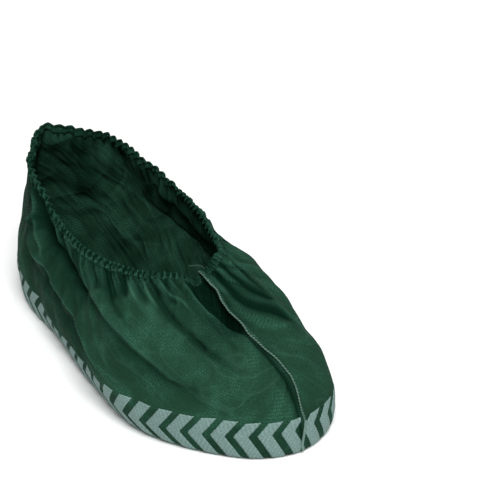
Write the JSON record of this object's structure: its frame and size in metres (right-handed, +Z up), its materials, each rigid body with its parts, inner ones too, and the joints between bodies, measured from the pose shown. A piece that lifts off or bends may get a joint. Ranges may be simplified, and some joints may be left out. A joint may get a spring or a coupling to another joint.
{
  "type": "disposable shoe cover",
  "caption": "Slip-on nonwoven cover for a shoe or boot, with a gathered elastic opening, sewn toe and heel ends and a non-slip printed sole.",
  "frame": {"origin": "middle of the inner sole face, where the sole of the worn shoe stands; the underside is 1 mm below it", "axes": "+Z up, the toe towards -Y, the wearer's right towards -X"},
  "size_m": [0.1436, 0.3302, 0.1262],
  "materials": {
    "cloth_body": "dark green spunbond nonwoven with a fine embossed grid, matt with a slight sheen",
    "elastic_hem": "the same nonwoven turned over an elastic thread and stitched, finely gathered",
    "seam_allowance": "doubled nonwoven edge bound with grey-green overlock thread",
    "tread_print": "pale grey-green non-slip coating printed as chevrons, matt"
  },
  "bodies": {
    "root": {"cloth_body": "cloth_body", "elastic_hem": "elastic_hem", "toe_seam": "seam_allowance", "heel_seam": "seam_allowance"}
  },
  "joints": []
}
